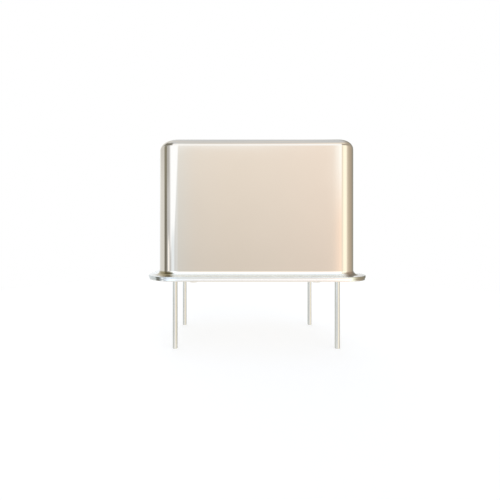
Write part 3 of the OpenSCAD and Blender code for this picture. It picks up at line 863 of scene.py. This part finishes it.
can_low, can_high = corners_mm("crystal_can")
can_radius = 1.3
can_sheet = 0.2
can_bend = 0.6             # round its top
can_foot = 0.08            # fillet from the wall into the flange
can_flange_radius = 1.6
can_flange_edge = 0.04
bend_out, bend_up = can_radius - can_bend, can_high.z - can_bend
edge_out, flange_up = can_flange_radius - can_flange_edge, can_low.z + can_sheet
mesh = bmesh.new()
can = sweep(mesh, [
    *arc(bend_out, bend_up, can_bend - can_sheet, 90, 0, 6),
    (can_radius - can_sheet, can_low.z),
    *arc(edge_out, can_low.z + can_flange_edge, can_flange_edge, -90, 0, 3),
    *arc(edge_out, flange_up - can_flange_edge, can_flange_edge, 0, 90, 3),
    *arc(can_radius + can_foot, flange_up + can_foot, can_foot, -90, -180, 4),
    *arc(bend_out, bend_up, can_bend, 0, 90, 10),
], (can_high.x - can_flange_radius, 0), centre=(0, wire_at.y), steps=14)
fill(mesh, can[0])
fill(mesh, can[-1])
make_piece("crystal_cover", mesh, "crystal_metal", ["crystal_can"], can_silver)


# ---- Cover ----
# The cover is deep-drawn in one piece from thin steel sheet and plated with bright nickel. The
# draw leaves round edges and corners. Its flange is welded to the base's rim all round.

def colour_ramp(tree, value, stops):
    """The colour that belongs to a value, from a list of (value, colour) stops."""
    start, end = stops[0][0], stops[-1][0]
    ramp = add(tree, "ValToRGB", {"Fac": fade(tree, value, start, end)})
    elements = ramp.color_ramp.elements
    for at, _ in stops[1:-1]:
        elements.new((at - start) / (end - start))
    for element, (_, colour) in zip(elements, stops):
        element.color = (*colour, 1)
    return ramp.outputs["Color"]


cover_low, cover_high = corners_mm("cover")
sheet = 0.2
wall_radius = 2.0          # upright corners
bend_radius = 0.8          # round the top
foot_radius = 0.45         # from the wall into the flange
flange_radius = 3.0
flange_top = cover_low.z + sheet
trim = 0.05                # the flange's edge is sheared and lightly rounded
turn_at = (cover_high.x - flange_radius, cover_high.y - flange_radius)
bend_out, bend_up = wall_radius - bend_radius, cover_high.z - bend_radius
foot_out, foot_up = wall_radius + foot_radius, flange_top + foot_radius

cover_nickel = plated("cover_nickel", (0.7, 0.63, 0.53), 0.085, relief=0.0004, clouding=0.03, grain=0.5,
                      lines=0.35, line_height=0.04)
tree = cover_nickel.node_tree
height = height_mm(tree)

# The foot is painted paler than the walls, a painted highlight for the light that its bend reflects.
# Below it, a painted highlight runs along the flange's edge at the joint, with painted shade above it.
painted_foot = fade(tree, height, foot_up - 0.01, foot_up - 0.15, smooth=True)
painted_edge_highlight, painted_edge_shade, flat, curved = (1, 1, 0.98), (0.78, 0.79, 0.75), (1, 0.98, 0.9), (1, 0.97, 0.87)
over_joint = [
    (0, painted_edge_highlight), (0.055, painted_edge_highlight), (0.075, painted_edge_shade), (0.19, painted_edge_shade),
    (0.21, flat), (0.25, flat), (0.32, curved), (1, curved),
]
painted_foot_light = colour_ramp(tree, height, [(cover_low.z + up, colour) for up, colour in over_joint])
mix_in_finish_and_painted_light(cover_nickel, painted_foot, painted_foot_light, 0.12)

# The punch's nose carried the top along without rubbing it, and left it duller than the walls.
unrubbed = fade(tree, height, cover_high.z - 0.05, cover_high.z - 0.01)
mix_in_finish_and_painted_light(cover_nickel, unrubbed, (0.6, 0.55, 0.48), 0.24)

# Painted shade darkens the foot and the flange's edge at the corners, as reflected dark surroundings would.
corner_shading = add(tree, "Group", {"Turn X": turn_at[0], "Turn Y": turn_at[1]}, node_tree=painted_corner_shade).outputs
from_edge = fade(tree, corner_shading["Out"], flange_radius - 0.15, flange_radius - 0.4)
bend_shade = calculate(tree, "MULTIPLY", corner_shading["Mask"], from_edge)
bend_shade = calculate(tree, "MULTIPLY", bend_shade, painted_foot)
bend_shade_colour = mix_colours(tree, corner_shading["End"], (0.33, 0.27, 0.15), (0.52, 0.43, 0.36))
mix_in_finish_and_painted_light(cover_nickel, bend_shade, bend_shade_colour, 0.12)
under_top = fade(tree, height, flange_top - 0.002, flange_top - 0.015)
edge_shade = calculate(tree, "MULTIPLY", corner_shading["Mask"], under_top)
edge_colour = mix_colours(tree, corner_shading["End"], (0.6, 0.61, 0.58), (0.45, 0.42, 0.33))
mix_in_finish_and_painted_light(cover_nickel, edge_shade, edge_colour, 0.14)

# The flange's top and the start of the foot are satin, except under the painted corner shade.
over_edge = fade(tree, height, flange_top - 0.015, flange_top - 0.002)
satin = fade(tree, height, flange_top + 0.12, flange_top + 0.05)
satin = calculate(tree, "MULTIPLY", over_edge, satin)
satin = calculate(tree, "MULTIPLY", satin, calculate(tree, "SUBTRACT", 1, bend_shade))
surface = tree.nodes["Principled BSDF"]
tree.links.new(fade(tree, satin, 0, 1, 1.0, 0.3), surface.inputs["Metallic"])

mesh = bmesh.new()
shell = sweep(mesh, [
    *arc(bend_out, bend_up, bend_radius - sheet, 90, 0, 10),
    *arc(foot_out, foot_up, foot_radius + sheet, 180, 270, 8),
    *arc(flange_radius - joint_edge, cover_low.z + joint_edge, joint_edge, -90, 0, 2),
    *arc(flange_radius - trim, flange_top - trim, trim, 0, 90, 5),
    *arc(foot_out, foot_up, foot_radius, 270, 180, 14),
    *arc(bend_out, bend_up, bend_radius, 0, 90, 20),
], turn_at)
fill(mesh, shell[0])
fill(mesh, shell[-1])
make_piece("can_cover", mesh, "cover", ["cover"], cover_nickel)


# ---- Light tent ----
# The oscillator stands in a tent of white cloth. Bright panels behind the cloth, and a dark
# strip, give polished metal something to show. The camera sees past the cloth to a white room.

def make_panel():
    """Where a lit or dark panel lies on the tent, in degrees round from the front and up.

    Its right border moves left by Lean degrees for each degree up. Its sides have Side blur, or the
    same Blur as the other borders where Side blur is 0.
    """
    group, given = start_effect("panel", {
        "Around": 0.0, "Up": 0.0, "Left": -10.0, "Right": 10.0, "Lean": 0.0,
        "Bottom": -120.0, "Top": 120.0, "Blur": 4.0, "Side blur": 0.0,
    })
    leaning = calculate(group, "MULTIPLY_ADD", given["Up"], given["Lean"], given["Around"])
    own = calculate(group, "GREATER_THAN", given["Side blur"], 0)
    side_blur = add(group, "Mix", {0: own, 2: given["Blur"], 3: given["Side blur"]}).outputs[0]
    mask = 1
    for place, border, half, blur in (
        (given["Around"], given["Left"], 0.5, side_blur),
        (leaning, given["Right"], -0.5, side_blur),
        (given["Up"], given["Bottom"], 0.5, given["Blur"]),
        (given["Up"], given["Top"], -0.5, given["Blur"]),
    ):
        outside = calculate(group, "MULTIPLY_ADD", blur, -half, border)
        inside = calculate(group, "MULTIPLY_ADD", blur, half, border)
        mask = calculate(group, "MULTIPLY", mask, fade(group, place, outside, inside, smooth=True))
    return finish_effect(group, {"Mask": mask})


panel = make_panel()

cloth, tree, surface = start_material("tent_cloth")
tree.nodes.remove(surface)
place = add(tree, "TexCoord").outputs["Object"]
toward = add(tree, "SeparateXYZ", {0: calculate(tree, "NORMALIZE", place, kind="VectorMath")}).outputs
ahead = calculate(tree, "MULTIPLY", toward["Y"], -1)
around = calculate(tree, "DEGREES", calculate(tree, "ARCTAN2", toward["X"], ahead))
up = calculate(tree, "DEGREES", calculate(tree, "ARCSINE", toward["Z"]))

# The cloth's own shade all the way round, as (degrees, colour). On the right it is darker up high,
# and elsewhere it is brighter there.
wall_shades = [
    (-180, (1.05, 1.08, 1.12)), (-134, (1.06, 1.1, 1.14)), (-118, (0.92, 0.97, 1.03)),
    (-97, (0.88, 0.93, 0.99)), (-68, (0.72, 0.77, 0.86)), (-58, (0.86, 0.92, 1.04)),
    (-30, (0.98, 1.06, 1.2)), (-16, (1.06, 1.16, 1.3)), (-9, (0.98, 1.03, 1.1)),
    (-6, (1.02, 1.01, 1.03)), (2, (1.05, 1.02, 1.02)), (12, (1.08, 1.04, 1.04)),
    (23.5, (1.13, 1.06, 1.05)), (42, (1.27, 1.21, 1.12)), (68, (1.2, 1.13, 1.03)),
    (75, (0.93, 0.87, 0.79)), (82, (0.75, 0.69, 0.6)), (99, (0.61, 0.54, 0.46)),
    (126, (0.35, 0.35, 0.32)), (142, (0.37, 0.37, 0.33)), (147, (0.41, 0.41, 0.36)),
    (150, (1.02, 1.05, 1.08)), (180, (1.05, 1.08, 1.12)),
]
walls = colour_ramp(tree, around, wall_shades)
right_edges = {"Around": around, "Up": up, "Left": 39, "Right": 146, "Bottom": -200, "Top": 200, "Blur": 10}
right_side = add(tree, "Group", right_edges, node_tree=panel).outputs["Mask"]
rising = fade(tree, up, -3, 24, 0.92, 1.11)
falling = fade(tree, up, -3, 24, 1.0, 0.93)
brightness = add(tree, "Mix", {0: right_side, 2: rising, 3: falling}).outputs[0]
light = scaled(tree, walls, brightness)

# Each panel has a name, a colour, its left, right, bottom and top borders in degrees, its blur, and
# any other inputs. A later panel covers the ones before it.
for name, colour, left, right, bottom, top, blur, more in [
    ("near right light", (1.39, 1.2, 1.11), 24.75, 38, -60, 30, 6, {"Side blur": 0.5}),
    ("near right light, upper part", (1.46, 1.56, 1.68), 24.75, 38, 12, 30, 18, {"Side blur": 0.5}),
    ("far right light", (1.48, 1.53, 1.41), 46, 67, -60, 28, 4, {}),
    ("ceiling", (0.79, 0.87, 1.0), -300, 300, 50, 120, 24, {}),
    ("ceiling, front part", (0.93, 0.95, 0.99), -60, 60, 66, 76, 5, {}),
    ("sheet underfoot", (1.2, 1.22, 1.24), -300, 300, -120, -32, 14, {}),
    ("overhead light", (1.38, 1.5, 1.7), -40, 42, 22.3, 40, 2.2, {}),
    ("left light", (1.43, 1.58, 1.84), -52, -32.5, 0, 25, 5, {"Lean": -1.0}),
    ("back left cloth", (0.95, 1.0, 1.05), -128, -92, -120, 120, 10, {}),
    ("back left shade", (0.84, 0.88, 0.92), -134, -86, 17, 60, 10, {}),
    ("upper left shade", (0.64, 0.68, 0.74), -76, -58, 14, 60, 7, {}),
    ("low left card", (1.15, 1.32, 1.56), -46, -30, -14, 3.5, 5, {}),
    ("low left light", (1.5, 1.56, 1.66), -66, -58, -40, 2, 4, {}),
    ("right beam", (0.52, 0.49, 0.44), 43, 112, 26, 38, 6, {}),
    ("left beam", (0.26, 0.27, 0.25), -108, -46, 32, 51, 7, {}),
    ("dark strip", (0.26, 0.26, 0.235), -91, -73, -60, 30, 4, {}),
    ("dark strip, upper part", (0.33, 0.33, 0.28), -91, -73, 12, 30, 16, {"Side blur": 4}),
]:
    inputs = {"Around": around, "Up": up, "Left": left, "Right": right, "Bottom": bottom, "Top": top}
    inputs |= {"Blur": blur, **more}
    mask = add(tree, "Group", inputs, node_tree=panel, label=name).outputs["Mask"]
    light = mix_colours(tree, mask, light, colour)
glow = add(tree, "Emission", {"Color": light, "Strength": 1})
tree.links.new(glow.outputs[0], tree.nodes["Material Output"].inputs["Surface"])

tent_radius = 0.3
mesh = bmesh.new()
bmesh.ops.create_uvsphere(mesh, u_segments=64, v_segments=32, radius=tent_radius)
tent = make_object("light_tent", mesh, cloth)
tent.visible_camera = False
tent.visible_transmission = False

world = bpy.data.worlds.new("white_room")
world.use_nodes = True
world.node_tree.nodes["Background"].inputs["Color"].default_value = (1, 1, 1, 1)
bpy.context.scene.world = world


# ---- Floor ----
# A plain white sheet lies under the lead tips. It keeps a faint shadow. From below the camera
# sees through it, and polished metal shows the lower part of the tent instead of it.

sheet_radius = 0.058
sheet_glow = 0.66          # with the light that falls on the sheet, this makes it white
white_sheet, tree, surface = start_material("white_sheet", roughness=0.9)
tooth = noise(tree, add(tree, "TexCoord").outputs["Object"], scale=900, detail=4)
paper = mix_colours(tree, tooth, (0.4, 0.4, 0.4), (0.42, 0.42, 0.42))
tree.links.new(paper, surface.inputs["Base Color"])
sight = add(tree, "LightPath").outputs
seen = calculate(tree, "MAXIMUM", sight["Is Camera Ray"], sight["Is Glossy Ray"])
seen = calculate(tree, "MAXIMUM", seen, sight["Is Transmission Ray"])
strength = calculate(tree, "MULTIPLY", seen, sheet_glow)
white = add(tree, "Emission", {"Color": (1, 1, 1, 1), "Strength": strength})
lit = add(tree, "AddShader", {0: surface.outputs[0], 1: white.outputs[0]})
from_behind = add(tree, "NewGeometry").outputs["Backfacing"]
behind = calculate(tree, "MULTIPLY", from_behind, sight["Is Camera Ray"])
clear = add(tree, "BsdfTransparent")
see_through = add(tree, "MixShader", {"Fac": behind, 1: lit.outputs[0], 2: clear.outputs[0]})
tree.links.new(see_through.outputs[0], tree.nodes["Material Output"].inputs["Surface"])

mesh = bmesh.new()
bmesh.ops.create_circle(mesh, cap_ends=True, segments=64, radius=sheet_radius)
floor = make_object("floor", mesh, white_sheet)
floor.location.z = cad_box[0].z
floor.visible_glossy = False


# ---- Camera ----
# It looks straight at the front, level, from close by and a little left of the middle. The
# lens is shifted and the camera isn't tilted, so upright edges stay upright.

lens = bpy.data.cameras.new("camera")
lens.lens = 19.48
lens.shift_x = 0.0671
lens.shift_y = -0.0086
lens.clip_start = 0.001
camera = bpy.data.objects.new("camera", lens)
camera.location = (-0.00373, -0.02925, 0.00355)
camera.rotation_euler = (math.radians(90), 0, 0)
bpy.context.scene.collection.objects.link(camera)
bpy.context.scene.camera = camera
bpy.context.scene.view_settings.view_transform = "Standard"
